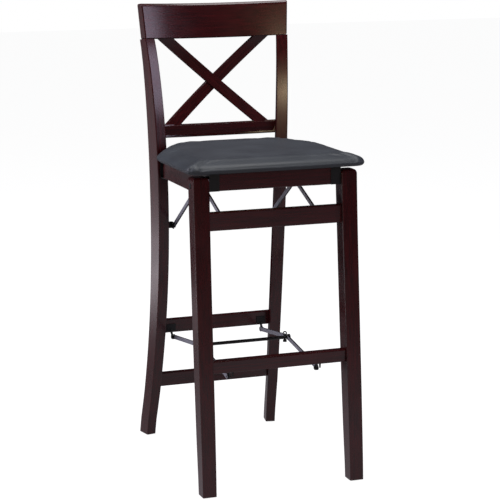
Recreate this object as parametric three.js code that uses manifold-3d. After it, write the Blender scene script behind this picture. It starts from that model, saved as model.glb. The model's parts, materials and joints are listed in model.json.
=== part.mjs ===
// Folding bar stool with a wooden frame, a crossed back, a padded seat and two steel folding linkages
//
// Millimetres, +Z up. The sitter faces -Y, and X runs from the left of the picture to the right.
// While the pieces are made, Y is counted from the front of the front feet and Z from the floor.
// The finished group is then moved so that its origin is the bottom centre of its bounding box.

import * as THREE from 'three';
import { mergeVertices } from 'three/addons/utils/BufferGeometryUtils.js';
import Module from 'manifold-3d';

const wasm = await Module();
wasm.setup();

// Clearances and making allowances
const jointGap = 0.3;
const runningGap = 0.08;
const leafGap = 0.5;
const overrun = 6;
const crestOverrun = 16;
const edgeEase = 2.2;
const edgeSteps = 2;
const pinSides = 28;
const eyeSteps = 9;

// Front legs, one straight outer face each, leaning back and growing in width upwards
const legHeight = 726;
const legHalfSpread = 197.1;
const legFootWidth = 33;
const legTopWidth = 38.7;
const legDepth = 41.5;
const legLean = 51;
const legTopEase = 8;
const legTopTurns = [30, 60, 90];
const legStations = 18;
const legLeanShare = [0, 0.133, 0.306, 0.5, 0.692, 0.865, 1];
const legDepthShare = [0.835, 0.959, 1, 0.99, 0.956, 0.931, 0.933];

// Rear posts, sawn to a double curve and turned inwards, slimmer in the back rest
const postSpan = 1080;
const postInset = 24.9;
const postFootBack = 519.1;
const postSweep = 102.3;
const postBow = 9.7;
const postWidth = 29;
const postDepth = 41.3;
const postFootTurn = 11.2;
const postTopTurn = 19.6;
const postStations = 26;
const postSweepShare = [0, 0.303, 0.558, 0.759, 0.901, 0.983, 0.999, 0.934, 0.762, 0.443];
const postBowShare = [0, 0.402, 0.763, 0.969, 0.99, 0.845, 0.546, 0.093, -0.588, -1.68];
const postWidthShare = [0.808, 0.877, 0.927, 0.966, 0.992, 1, 0.996, 0.977, 0.955, 1];
const postDepthShare = [1, 0.943, 0.93, 0.943, 0.959, 0.961, 0.928, 0.84, 0.678, 0.42];

// Feet
const glideRadius = 9;
const glideHeight = 2;

// Crest rail, bent to the sitter's back and leaning with the posts
const crestDrop = 75.3;
const crestInset = 0.4;
const crestHeight = 84;
const crestOverhang = 8.2;
const crestFlare = 5.4;
const crestFootThick = 22.5;
const crestTopThick = 21.5;
const crestSag = 28;
const crestTilt = 8;
const crestEase = 12.2;
const crestEaseDepth = 8;
const crestEndEaseShare = 0.85;
const crestStations = 20;
const postTenonRadius = 5.5;
const postTenonLength = 20;
const postTenonRoot = 18;

// Lower back rail, bent like the crest
const backRailDrop = 238.4;
const backRailInset = 20.6;
const backRailHeight = 32;
const backRailThick = 20;
const backRailSag = 28;
const backRailTilt = 9;

// Straight cross rails of the front frame: foot height, height, distance back, thickness
const frontUpperDrop = 122.3;
const frontUpper = { foot: legHeight - frontUpperDrop, height: 41.7, back: 54, thick: 18 };
const footrest = { foot: 281.2, height: 28.9, back: 28, thick: 22 };

// Straight cross rails of the rear frame, set back from the front edges of the posts
const rearUpperFoot = 272.4;
const rearUpperHeight = 34.8;
const rearUpperInset = 23.1;
const rearUpperThick = 13.5;
const rearLowerFoot = 131;
const rearLowerHeight = 34.6;
const rearLowerInset = 11.5;
const rearLowerThick = 16;
const tenonThickShare = 0.5;
const tenonHeightShare = 0.7;
const tenonLength = 15;

// Crossed slats, halved where they cross
const slatFootInset = 63.7;
const slatTopInset = 53.5;
const slatTopDrop = 7;
const slatFootBack = 42.5;
const slatTopBack = 66;
const slatBow = 12;
const slatRunWidth = 39.5;
const slatThick = 11;
const slatStep = 1.5;
const slatSet = 12;
const slatEase = 1.5;
const slatStations = 12;

// Upper pivots of the fold, by their drop below the tops of the front legs
const seatPivotBack = 72;
const seatPivotDrop = 20;
const frontStayReach = 17.6;
const frontStayDrop = 102.7;
const stayKneeBack = 237.3;
const stayKneeDrop = 43.8;
const rearStayReach = 14.760138;
const rearStayDrop = 174.4;

// Lower pivots of the fold, by their reach from the rails that carry them and their drop below
const frontLinkReach = 28;
const frontLinkDrop = 21.2;
const rearLinkReach = 11.706759;
const rearLinkDrop = 8.4;
const linkKneeBack = 269.2;
const linkKneeRise = 27;

// Flat steel bars and their rivets
const barWidth = 10;
const stayThick = 4;
const linkThick = 3.5;
const eyeRadius = 6.3;
const kneeEyeRadius = 7.2;
const rivetRadius = 3;
const rivetHeadRadius = 4.7;
const rivetHeadHeight = 1.8;
const rodRadius = 4.1;
const stayInset = 21.157;
const stayGap = 1.5;
const linkInset = 4.1;

// Bent steel plates that carry the pivots
const plateThick = 2;
const earThick = 3;
const linkPlateWidth = 23;
const linkPlateHeight = 17.5;
const linkPlateDrop = 4.4;
const footrestPlateDrop = 9;
const stayPlateWidth = 24;
const stayPlateHeight = 26;
const postLeafLength = 18;
const postLeafInset = 14;
const postLeafHeight = 16;

// Ring bolt by which the lower linkage is pulled up
const ringRadius = 4.2;
const ringWire = 1.4;
const ringShank = 2.6;
const ringNut = 4.6;
const ringNutHeight = 5;
const ringDrop = 6;

// Seat frame
const seatFrameRise = 7.7;
const seatRailHeight = 59.7;
const apronHeight = 40.7;
const apronBack = 56;
const apronThick = 18;
const seatSideGap = 2.3;
const seatRailThick = 22;
const seatRailRise = 94;
const seatRearGap = 13.61987;
const rearSeatRailHeight = 43.7;
const seatBoardThick = 5.5;
const seatBoardInset = 16;
const pivotPlateThick = 1.6;
const pivotPlateLength = 52;
const boltRadius = 4;
const boltCapRadius = 6;
const boltCapDepth = 4;
const boltCapRise = 1;

// Steel rests that the seat drops onto
const restWidth = 17;
const restLip = 32;
const restThick = 2;
const restRise = 57;

// Pad
const padThick = 29.5;
const padFrontBack = 28;
const padFrontBow = 2;
const padOverhang = 18.9;
const padCornerRadius = 22;
const padSideEnd = 262;
const padTurnReach = 28;
const padTurnDraw = 2;
const padShoulderSet = 8;
const padShoulderInset = 18.2;
const padShoulderRise = 30;
const padShoulderReach = 55;
const padRearOverhang = 16;
const padRearInset = 76.2;
const padWaist = 1;
const padRise = 26;
const padEdgeInset = 24;
const padInsetShare = [0.36, 0.1, 0, 0.02, 0.16, 0.46, 1];
const padRiseShare = [0, 0.1, 0.32, 0.48, 0.68, 0.87, 1];
const padDomeShare = [0.82, 0.6, 0.36, 0.14];
const padPoints = 68;

const degrees = Math.PI / 180;

// Sizes that follow from the ones above
const postHalfSpread = legHalfSpread - postInset;
const crestFoot = postSpan - crestDrop;
const crestHalfFoot = postHalfSpread + crestOverhang;
const crestHalfTop = crestHalfFoot + crestFlare;
const backRailFoot = crestFoot - backRailDrop;
const postTopHeight = crestFoot + crestOverrun;
const seatFrameTop = legHeight + seatFrameRise;
const seatFoot = seatFrameTop - seatRailHeight;
const seatRailEnd = postFront(seatFoot) - seatRearGap;
const apronFoot = seatFrameTop - apronHeight;
const padFoot = seatFrameTop + jointGap;
const padCrown = padFoot + padThick;
const padShoulderBack = seatRailEnd - padShoulderSet;
const padRearBack = seatRailEnd + padRearOverhang;
const seatRailHalf = legInner(legHeight - seatPivotDrop) - seatSideGap;
const sideRailInner = seatRailHalf - seatRailThick;
const frontStayInner = sideRailInner - stayInset;
const rearStayInner = frontStayInner + stayThick + stayGap;
const frontLinkInner = frontStayInner - linkInset;
const padFrontHalf = legHalfSpread + padOverhang;
const padShoulderHalf = postHalfSpread - padShoulderInset;
const padRearHalf = postHalfSpread - padRearInset;
const rearUpper = {
  foot: rearUpperFoot,
  height: rearUpperHeight,
  back: postFront(rearUpperFoot) + rearUpperInset,
  thick: rearUpperThick,
};
const rearLower = {
  foot: rearLowerFoot,
  height: rearLowerHeight,
  back: postFront(rearLowerFoot) + rearLowerInset,
  thick: rearLowerThick,
};
const frontUpperRear = frontUpper.back + frontUpper.thick;
const footrestRear = footrest.back + footrest.thick;
const frontLinkHeight = footrest.foot - frontLinkDrop;
const rearLinkHeight = rearUpper.foot - rearLinkDrop;
const rearStayHeight = legHeight - rearStayDrop;
const pivot = {
  seat: { back: seatPivotBack, height: legHeight - seatPivotDrop },
  frontStay: { back: frontUpperRear + frontStayReach, height: legHeight - frontStayDrop },
  stayKnee: { back: stayKneeBack, height: legHeight - stayKneeDrop },
  rearStay: { back: postFront(rearStayHeight) + rearStayReach, height: rearStayHeight },
  frontLink: { back: footrestRear + frontLinkReach, height: frontLinkHeight },
  rearLink: { back: rearUpper.back - rearLinkReach, height: rearLinkHeight },
  linkKnee: { back: linkKneeBack, height: (frontLinkHeight + rearLinkHeight) / 2 + linkKneeRise },
};

// Smooth value at t along an evenly spaced table of shares
function shareAt(shares, t) {
  const curve = new THREE.SplineCurve(shares.map((share, i) => new THREE.Vector2(i, share)));
  return curve.getPoint(THREE.MathUtils.clamp(t, 0, 1)).y;
}

// Solid from a closed geometry
function solid(geometry) {
  const plain = geometry.clone();
  plain.deleteAttribute('normal');
  plain.deleteAttribute('uv');
  const welded = mergeVertices(plain);
  return new wasm.Manifold(new wasm.Mesh({
    numProp: 3,
    vertProperties: new Float32Array(welded.attributes.position.array),
    triVerts: new Uint32Array(welded.index.array),
  }));
}

// Geometry from a solid
function geometryOf(body) {
  const mesh = body.getMesh();
  const geometry = new THREE.BufferGeometry();
  geometry.setAttribute('position', new THREE.BufferAttribute(new Float32Array(mesh.vertProperties), 3));
  geometry.setIndex(new THREE.BufferAttribute(new Uint32Array(mesh.triVerts), 1));
  return geometry;
}

// The same geometry seen in the mirror plane X = 0
function mirrored(geometry) {
  const twin = geometry.clone();
  twin.scale(-1, 1, 1);
  const index = twin.index.array;
  for (let i = 0; i < index.length; i += 3) {
    const kept = index[i];
    index[i] = index[i + 1];
    index[i + 1] = kept;
  }
  return twin;
}

// Skin over rings of points, each turning the same way, closed by a flat fan at both ends
function loft(rings) {
  const count = rings[0].length;
  const positions = [];
  const index = [];
  for (const ring of rings) {
    for (const p of ring) {
      positions.push(p.x, p.y, p.z);
    }
  }
  for (let k = 0; k < rings.length - 1; k += 1) {
    for (let i = 0; i < count; i += 1) {
      const a = k * count + i;
      const b = k * count + ((i + 1) % count);
      index.push(a, b, b + count, a, b + count, a + count);
    }
  }
  const last = (rings.length - 1) * count;
  for (let i = 1; i < count - 1; i += 1) {
    index.push(0, i + 1, i, last, last + i, last + i + 1);
  }
  const geometry = new THREE.BufferGeometry();
  geometry.setAttribute('position', new THREE.Float32BufferAttribute(positions, 3));
  geometry.setIndex(index);
  return geometry;
}

// Ring of points round a polygon whose corners are eased by a given length before and after each
function easedRing(corners, eases, steps) {
  const ring = [];
  corners.forEach((corner, i) => {
    const before = corners[(i + corners.length - 1) % corners.length];
    const after = corners[(i + 1) % corners.length];
    const start = corner.clone().lerp(before, eases[i][0] / corner.distanceTo(before));
    const end = corner.clone().lerp(after, eases[i][1] / corner.distanceTo(after));
    const bend = new THREE.QuadraticBezierCurve3(start, corner, end);
    ring.push(...bend.getPoints(steps));
  });
  return ring;
}

// Box between two corners
function box(x0, x1, y0, y1, z0, z1) {
  const geometry = new THREE.BoxGeometry(x1 - x0, y1 - y0, z1 - z0);
  geometry.translate((x0 + x1) / 2, (y0 + y1) / 2, (z0 + z1) / 2);
  return solid(geometry);
}

// Round pin along X
function pin(x0, x1, at, radius) {
  const geometry = new THREE.CylinderGeometry(radius, radius, Math.abs(x1 - x0), pinSides);
  geometry.rotateZ(Math.PI / 2);
  geometry.translate((x0 + x1) / 2, at.back, at.height);
  return solid(geometry);
}

// Plate of one thickness from an outline
function extruded(shape, depth) {
  return new THREE.ExtrudeGeometry(shape, { depth, bevelEnabled: false, curveSegments: eyeSteps });
}

// Outline in the side plane, given as distance back and height, made a plate from x0 to x1
function sidePlate(shape, x0, x1) {
  const geometry = extruded(shape, x1 - x0);
  const frame = new THREE.Matrix4();
  frame.makeBasis(new THREE.Vector3(0, 1, 0), new THREE.Vector3(0, 0, 1), new THREE.Vector3(1, 0, 0));
  geometry.applyMatrix4(frame);
  geometry.translate(x0, 0, 0);
  return solid(geometry);
}

// Outline in the front plane, given as X and height, made a plate from y0 to y1
function frontPlate(shape, y0, y1) {
  const geometry = extruded(shape, y1 - y0);
  geometry.rotateX(Math.PI / 2);
  geometry.translate(0, y1, 0);
  return solid(geometry);
}

// Outline seen from above, made a plate from z0 to z1
function planPlate(shape, z0, z1) {
  const geometry = extruded(shape, z1 - z0);
  geometry.translate(0, 0, z0);
  return solid(geometry);
}

function polygon(points) {
  return new THREE.Shape(points.map(([x, y]) => new THREE.Vector2(x, y)));
}

// Flat bar with a rounded eye round each of two pivots
function barOutline(from, to, radiusFrom, radiusTo) {
  const a = new THREE.Vector2(from.back, from.height);
  const b = new THREE.Vector2(to.back, to.height);
  const heading = b.clone().sub(a).angle();
  const backFrom = Math.asin(barWidth / 2 / radiusFrom);
  const backTo = Math.asin(barWidth / 2 / radiusTo);
  const shape = new THREE.Shape();
  shape.absarc(a.x, a.y, radiusFrom, heading + backFrom, heading - backFrom + 2 * Math.PI, false);
  shape.absarc(b.x, b.y, radiusTo, heading + Math.PI + backTo, heading + 3 * Math.PI - backTo, false);
  return shape;
}

// Corners of a rear post's section at one height: front outer, rear outer, rear inner, front inner
function postCorners(z, grow) {
  const t = z / postSpan;
  const turn = (postFootTurn + (postTopTurn - postFootTurn) * t) * degrees;
  const width = postWidth * shareAt(postWidthShare, t);
  const depth = postDepth * shareAt(postDepthShare, t);
  const corner = new THREE.Vector3(
    postHalfSpread - postBow * shareAt(postBowShare, t),
    postFootBack - postSweep * shareAt(postSweepShare, t),
    z,
  );
  const inward = new THREE.Vector3(-Math.cos(turn), Math.sin(turn), 0);
  const backward = new THREE.Vector3(Math.sin(turn), Math.cos(turn), 0);
  const at = (across, deep) => corner.clone().addScaledVector(inward, across).addScaledVector(backward, deep);
  return {
    turn,
    width,
    depth,
    inward,
    backward,
    ring: [
      at(-grow, -grow), at(-grow, depth + grow),
      at(width + grow, depth + grow), at(width + grow, -grow),
    ],
    at,
  };
}

// Distance back of the post's front outer edge at one height
function postFront(z) {
  return postCorners(z, 0).ring[0].y;
}

function postSolid(grow) {
  const rings = [];
  for (let k = 0; k <= postStations; k += 1) {
    const z = glideHeight + (postTopHeight - glideHeight) * (k / postStations);
    const eases = Array(4).fill([edgeEase, edgeEase]);
    rings.push(easedRing(postCorners(z, grow).ring, eases, edgeSteps));
  }
  return solid(loft(rings));
}

// Corners of a front leg's section at one height, with all sides set in by a given length
function legRing(z, inset) {
  const t = z / legHeight;
  const width = THREE.MathUtils.lerp(legFootWidth, legTopWidth, t);
  const front = legLean * shareAt(legLeanShare, t);
  const depth = legDepth * shareAt(legDepthShare, t);
  const outer = legHalfSpread - inset;
  const inner = legHalfSpread - width + inset;
  const corners = [
    new THREE.Vector3(outer, front + inset, z),
    new THREE.Vector3(outer, front + depth - inset, z),
    new THREE.Vector3(inner, front + depth - inset, z),
    new THREE.Vector3(inner, front + inset, z),
  ];
  return easedRing(corners, Array(4).fill([edgeEase, edgeEase]), edgeSteps);
}

function legInner(z) {
  return legHalfSpread - THREE.MathUtils.lerp(legFootWidth, legTopWidth, z / legHeight);
}

function legSolid(grow) {
  const rings = [];
  for (let k = 0; k <= legStations; k += 1) {
    const z = glideHeight + (legHeight - legTopEase - glideHeight) * (k / legStations);
    rings.push(legRing(z, -grow));
  }
  for (const turn of legTopTurns) {
    const rise = Math.sin(turn * degrees);
    const draw = 1 - Math.cos(turn * degrees);
    rings.push(legRing(legHeight - legTopEase + legTopEase * rise, legTopEase * draw - grow));
  }
  return solid(loft(rings));
}

// Bent rail: a section swept along an arc whose hollow side faces the sitter, with eased ends
function bentRail(size, grow, under) {
  const tilt = size.tilt * degrees;
  const endTurn = Math.atan(2 * size.sag / size.halfFoot);
  const point = (u, high, deep) => {
    const half = THREE.MathUtils.lerp(size.halfFoot, size.halfTop, high / size.height);
    const turn = endTurn * u;
    const n = size.sag * (1 - u * u) + deep * Math.cos(turn);
    return new THREE.Vector3(
      half * u + deep * Math.sin(turn),
      size.back + high * Math.sin(tilt) + n * Math.cos(tilt),
      size.foot + high * Math.cos(tilt) - n * Math.sin(tilt),
    );
  };
  const reach = 1 + (grow + size.reach) / size.halfFoot;
  const easedReach = reach - edgeEase / size.halfFoot;
  const stations = [{ u: -reach, inset: edgeEase }];
  for (let k = 0; k <= crestStations; k += 1) {
    stations.push({ u: THREE.MathUtils.lerp(-easedReach, easedReach, k / crestStations), inset: 0 });
  }
  stations.push({ u: reach, inset: edgeEase });
  const rings = stations.map(({ u, inset }) => {
    const swell = 1 - (1 - size.endEaseShare) * u * u;
    const low = inset - under;
    const high = size.height + grow - inset;
    const front = inset - grow;
    const corners = [
      point(u, low, front),
      point(u, low, size.footThick + grow - inset),
      point(u, high, size.topThick + grow - inset),
      point(u, high, front),
    ];
    const eases = [
      [edgeEase, edgeEase],
      [edgeEase, edgeEase],
      [edgeEase, edgeEase],
      [size.easeDepth * swell, size.ease * swell],
    ];
    return easedRing(corners, eases, edgeSteps + 1);
  });
  return solid(loft(rings));
}

// Straight rail along X with eased long edges
function railSolid(half, rail) {
  const y0 = rail.back;
  const y1 = rail.back + rail.thick;
  const z0 = rail.foot;
  const z1 = rail.foot + rail.height;
  const rings = [-half, half].map((x) => {
    const corners = [[y0, z0], [y1, z0], [y1, z1], [y0, z1]].map(([y, z]) => new THREE.Vector3(x, y, z));
    return easedRing(corners, Array(4).fill([edgeEase, edgeEase]), edgeSteps);
  });
  return solid(loft(rings));
}

// Tenon that runs through a rail into both uprights
function tenonSolid(half, rail, grow) {
  const y = rail.back + rail.thick / 2;
  const z = rail.foot + rail.height / 2;
  const dy = rail.thick * tenonThickShare / 2 + grow;
  const dz = rail.height * tenonHeightShare / 2 + grow;
  return box(-half - grow, half + grow, y - dy, y + dy, z - dz, z + dz);
}

// Materials
function finish(color, roughness, metalness) {
  return () => new THREE.MeshStandardMaterial({ color, roughness, metalness });
}
const stainedWood = finish(0x3b1c20, 0.38, 0);
const plywood = finish(0x8d6a49, 0.8, 0);
const vinyl = finish(0x454b52, 0.5, 0);
const blackSteel = finish(0x17181a, 0.45, 0.6);
const plainSteel = finish(0x7b7d86, 0.4, 0.85);
const nylon = finish(0x2b2624, 0.6, 0);

const stool = new THREE.Group();
stool.name = 'folding_bar_stool';

function add(name, body, material) {
  const geometry = body instanceof THREE.BufferGeometry ? body : geometryOf(body);
  const mesh = new THREE.Mesh(geometry, material());
  mesh.name = name;
  stool.add(mesh);
}

// The right-hand piece and its mirrored twin
function addPair(name, body, material) {
  const geometry = geometryOf(body);
  add(`${name}_right`, geometry, material);
  add(`${name}_left`, mirrored(geometry), material);
}

// Rear posts with their mortises
const mirrorSolid = (body) => solid(mirrored(geometryOf(body)));
const postGrown = postSolid(jointGap);
const postGrownTwin = mirrorSolid(postGrown);
const crestSize = {
  back: postFront(crestFoot) + crestInset,
  foot: crestFoot,
  height: crestHeight,
  halfFoot: crestHalfFoot,
  halfTop: crestHalfTop,
  footThick: crestFootThick,
  topThick: crestTopThick,
  sag: crestSag,
  tilt: crestTilt,
  ease: crestEase,
  easeDepth: crestEaseDepth,
  endEaseShare: crestEndEaseShare,
  reach: 0,
};
const backRailInner = postCorners(backRailFoot, 0).ring[2].x;
const backRailBack = postFront(backRailFoot) + backRailInset;
const backRailSize = {
  back: backRailBack,
  foot: backRailFoot,
  height: backRailHeight,
  halfFoot: backRailInner,
  halfTop: backRailInner,
  footThick: backRailThick,
  topThick: backRailThick,
  sag: backRailSag,
  tilt: backRailTilt,
  ease: edgeEase,
  easeDepth: edgeEase,
  endEaseShare: 1,
  reach: postWidth,
};
const backTenon = {
  back: backRailBack,
  foot: backRailFoot,
  height: backRailHeight,
  thick: backRailThick,
};

const crestTaken = bentRail(crestSize, crestOverrun, jointGap);

function postTenonEnds(grow) {
  const low = postCorners(crestFoot - postTenonRoot, 0);
  const high = postCorners(crestFoot + postTenonLength, 0);
  const from = low.at(low.width / 2, low.depth / 2);
  const to = high.at(high.width / 2, high.depth / 2);
  const length = from.distanceTo(to) + grow;
  const radius = postTenonRadius + grow;
  const geometry = new THREE.CylinderGeometry(radius, radius, length, pinSides);
  geometry.translate(0, length / 2, 0);
  const turn = new THREE.Quaternion();
  turn.setFromUnitVectors(new THREE.Vector3(0, 1, 0), to.clone().sub(from).normalize());
  geometry.applyQuaternion(turn);
  geometry.translate(from.x, from.y, from.z);
  return solid(geometry);
}

function tenonHalf(inner) {
  return inner + tenonLength;
}

const rearUpperHalf = tenonHalf(postCorners(rearUpper.foot, 0).ring[2].x);
const rearLowerHalf = tenonHalf(postCorners(rearLower.foot, 0).ring[2].x);
const backHalf = tenonHalf(backRailInner) - tenonLength / 2;

let post = postSolid(0).subtract(crestTaken);
post = post.add(postTenonEnds(0));
post = post.subtract(tenonSolid(rearUpperHalf, rearUpper, jointGap));
post = post.subtract(tenonSolid(rearLowerHalf, rearLower, jointGap));
post = post.subtract(tenonSolid(backHalf, backTenon, jointGap));
addPair('rear_post', post, stainedWood);

function rearRail(half, rail) {
  const shoulders = railSolid(postHalfSpread, rail).subtract(postGrown).subtract(postGrownTwin);
  const reach = postCorners(rail.foot, 0).at(0, 0).x;
  const middle = shoulders.intersect(box(-reach, reach, 0, postSpan, 0, postSpan)).decompose();
  const kept = middle.reduce((a, b) => (a.volume() > b.volume() ? a : b));
  return kept.add(tenonSolid(half, rail, 0));
}
add('rear_bracket_rail', rearRail(rearUpperHalf, rearUpper), stainedWood);
add('rear_lower_rail', rearRail(rearLowerHalf, rearLower), stainedWood);

// Crossed slats, bowed with the back, the one that starts low on the right set further forward
const slatFoot = backRailFoot + backRailHeight;
const slatTop = crestFoot - slatTopDrop;
const slatFootHalf = postHalfSpread - slatFootInset;
const slatTopHalf = postHalfSpread - slatTopInset;
const slatOrigin = postFront(slatFoot);

function slatBar(side, grow, front, rear, ease) {
  const rings = [];
  const end = slatSet + grow;
  const half = slatRunWidth / 2 + grow;
  for (let k = 0; k <= slatStations; k += 1) {
    const z = THREE.MathUtils.lerp(slatFoot - end, slatTop + end, k / slatStations);
    const t = (z - slatFoot) / (slatTop - slatFoot);
    const x = side * THREE.MathUtils.lerp(slatFootHalf, -slatTopHalf, t);
    const y = slatOrigin + THREE.MathUtils.lerp(slatFootBack, slatTopBack, t) + 4 * slatBow * t * (1 - t);
    const corners = [
      new THREE.Vector3(x + half, y + front, z),
      new THREE.Vector3(x + half, y + rear, z),
      new THREE.Vector3(x - half, y + rear, z),
      new THREE.Vector3(x - half, y + front, z),
    ];
    rings.push(ease ? easedRing(corners, Array(4).fill([ease, ease]), 1) : corners);
  }
  return solid(loft(rings));
}

const slatHalf = slatThick / 2;
const slatHalving = jointGap / 2;
const frontSlat = slatBar(1, 0, -slatHalf - slatStep, slatHalf - slatStep, slatEase)
  .subtract(slatBar(-1, jointGap, -slatHalving, slatThick, 0));
const rearSlat = slatBar(-1, 0, slatStep - slatHalf, slatStep + slatHalf, slatEase)
  .subtract(slatBar(1, jointGap, -slatThick, slatHalving, 0));
add('back_slat_front', frontSlat, stainedWood);
add('back_slat_rear', rearSlat, stainedWood);
const slatTakenHalf = slatHalf + jointGap;
const slatTaken = slatBar(1, jointGap, -slatTakenHalf - slatStep, slatTakenHalf - slatStep, slatEase)
  .add(slatBar(-1, jointGap, slatStep - slatTakenHalf, slatStep + slatTakenHalf, slatEase));

let crest = bentRail(crestSize, 0, 0);
crest = crest.subtract(postTenonEnds(jointGap)).subtract(mirrorSolid(postTenonEnds(jointGap)));
crest = crest.subtract(slatTaken);
add('crest_rail', crest, stainedWood);

let backRail = bentRail(backRailSize, 0, 0).subtract(postGrown).subtract(postGrownTwin);
backRail = backRail.decompose().reduce((a, b) => (a.volume() > b.volume() ? a : b));
backRail = backRail.add(tenonSolid(backHalf, backTenon, 0)).subtract(slatTaken);
add('lower_back_rail', backRail, stainedWood);

// Front legs with their mortises and bolt holes
const frontUpperHalf = tenonHalf(legInner(frontUpper.foot));
const footrestHalf = tenonHalf(legInner(footrest.foot));
const boltCapStart = legHalfSpread - boltCapDepth;
let leg = legSolid(0);
leg = leg.subtract(tenonSolid(frontUpperHalf, frontUpper, jointGap));
leg = leg.subtract(tenonSolid(footrestHalf, footrest, jointGap));
leg = leg.subtract(pin(seatRailHalf, legHalfSpread + overrun, pivot.seat, boltRadius + runningGap));
leg = leg.subtract(pin(boltCapStart, legHalfSpread + overrun, pivot.seat, boltCapRadius + runningGap));
addPair('front_leg', leg, stainedWood);

const legGrown = legSolid(jointGap);
const legGrownTwin = mirrorSolid(legGrown);
function frontRail(half, rail) {
  const shoulders = railSolid(legHalfSpread, rail).subtract(legGrown).subtract(legGrownTwin);
  const kept = shoulders.decompose().reduce((a, b) => (a.volume() > b.volume() ? a : b));
  return kept.add(tenonSolid(half, rail, 0));
}
add('front_upper_rail', frontRail(frontUpperHalf, frontUpper), stainedWood);
add('footrest_rail', frontRail(footrestHalf, footrest), stainedWood);

// Glides under the feet
function glideAt(ring) {
  const middle = new THREE.Vector3();
  ring.forEach((p) => middle.addScaledVector(p, 1 / ring.length));
  const geometry = new THREE.CylinderGeometry(glideRadius, glideRadius, glideHeight, pinSides);
  geometry.rotateX(Math.PI / 2);
  geometry.translate(middle.x, middle.y, glideHeight / 2);
  return solid(geometry);
}
addPair('rear_glide', glideAt(postCorners(glideHeight, 0).ring), nylon);
addPair('front_glide', glideAt(legRing(glideHeight, 0)), nylon);

// Seat pivot bolts, fixed in the legs, on which the side rails turn
const boltEnd = seatRailHalf - seatRailThick + plateThick;
const bolt = pin(boltEnd, boltCapStart, pivot.seat, boltRadius)
  .add(pin(boltCapStart, legHalfSpread + boltCapRise, pivot.seat, boltCapRadius));
addPair('seat_pivot_bolt', bolt, blackSteel);

// Seat frame
const railFront = apronBack;
const sideRail = new THREE.Shape();
sideRail.moveTo(railFront, apronFoot);
sideRail.lineTo(railFront + apronThick, apronFoot);
sideRail.lineTo(railFront + apronThick + seatRailRise, seatFoot);
sideRail.lineTo(seatRailEnd, seatFoot);
sideRail.lineTo(seatRailEnd, seatFrameTop);
sideRail.lineTo(railFront, seatFrameTop);
const sideRailBody = sidePlate(sideRail, sideRailInner, seatRailHalf)
  .subtract(pin(sideRailInner - overrun, seatRailHalf + overrun, pivot.seat, boltRadius + runningGap));
addPair('seat_side_rail', sideRailBody, stainedWood);

const apron = { foot: apronFoot, height: apronHeight, back: apronBack, thick: apronThick };
add('seat_apron', railSolid(sideRailInner, apron), stainedWood);
const rearSeatRail = {
  foot: seatFrameTop - rearSeatRailHeight,
  height: rearSeatRailHeight,
  back: seatRailEnd - apronThick,
  thick: apronThick,
};
add('seat_rear_rail', railSolid(sideRailInner, rearSeatRail), stainedWood);

const pivotPlateEnd = railFront + pivotPlateLength;
const pivotPlateOuter = seatRailHalf + pivotPlateThick;
const pivotPlate = planPlate(polygon([
  [sideRailInner, railFront - pivotPlateThick],
  [pivotPlateOuter, railFront - pivotPlateThick],
  [pivotPlateOuter, pivotPlateEnd],
  [seatRailHalf, pivotPlateEnd],
  [seatRailHalf, railFront],
  [sideRailInner, railFront],
]), apronFoot, seatFrameTop)
  .subtract(pin(seatRailHalf - overrun, pivotPlateOuter + overrun, pivot.seat, boltRadius + runningGap));
addPair('seat_pivot_plate', pivotPlate, blackSteel);

// Pad outline seen from above, set in by a given length
const padOutline = new THREE.Shape();
padOutline.moveTo(0, padFrontBack);
padOutline.quadraticCurveTo(
  padFrontHalf / 2, padFrontBack,
  padFrontHalf - padCornerRadius, padFrontBack + padFrontBow,
);
padOutline.quadraticCurveTo(
  padFrontHalf, padFrontBack + padFrontBow,
  padFrontHalf, padFrontBack + padFrontBow + padCornerRadius,
);
padOutline.quadraticCurveTo(
  padFrontHalf - padWaist, (padFrontBack + padSideEnd) / 2,
  padFrontHalf, padSideEnd,
);
padOutline.bezierCurveTo(
  padFrontHalf - padTurnDraw, padSideEnd + padTurnReach,
  padShoulderHalf + padShoulderRise, padShoulderBack - padShoulderReach,
  padShoulderHalf, padShoulderBack,
);
padOutline.quadraticCurveTo(
  (padShoulderHalf + padRearHalf) / 2, padRearBack,
  padRearHalf, padRearBack,
);
padOutline.lineTo(0, padRearBack);
const padHalf = padOutline.getSpacedPoints(padPoints / 2);
const padRing = [...padHalf, ...padHalf.slice(1, -1).reverse().map((p) => new THREE.Vector2(-p.x, p.y))];

function insetRing(inset, z) {
  const count = padRing.length;
  return padRing.map((p, i) => {
    const before = padRing[(i + count - 1) % count];
    const after = padRing[(i + 1) % count];
    const along = after.clone().sub(before).normalize();
    return new THREE.Vector3(p.x - along.y * inset, p.y + along.x * inset, z);
  });
}

const padRings = padInsetShare.map((share, i) => (
  insetRing(padEdgeInset * share, padFoot + padRise * padRiseShare[i])
));
const padMiddle = (padFrontBack + padRearBack) / 2;
const padEdgeTop = padRings[padRings.length - 1];
for (const share of padDomeShare) {
  padRings.push(padEdgeTop.map((p) => new THREE.Vector3(
    p.x * share,
    padMiddle + (p.y - padMiddle) * share,
    padCrown - (padCrown - padFoot - padRise) * share * share,
  )));
}
const boardTop = seatFrameTop + seatBoardThick;
const boardSolid = (grow) => solid(loft([
  insetRing(seatBoardInset - grow, seatFrameTop),
  insetRing(seatBoardInset - grow, boardTop + grow),
])).intersect(box(-seatRailHalf - grow, seatRailHalf + grow, 0, padRearBack, seatFoot, padCrown));
add('seat_board', boardSolid(0), plywood);
add('seat_pad', solid(loft(padRings)).subtract(boardSolid(jointGap)), vinyl);

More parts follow.
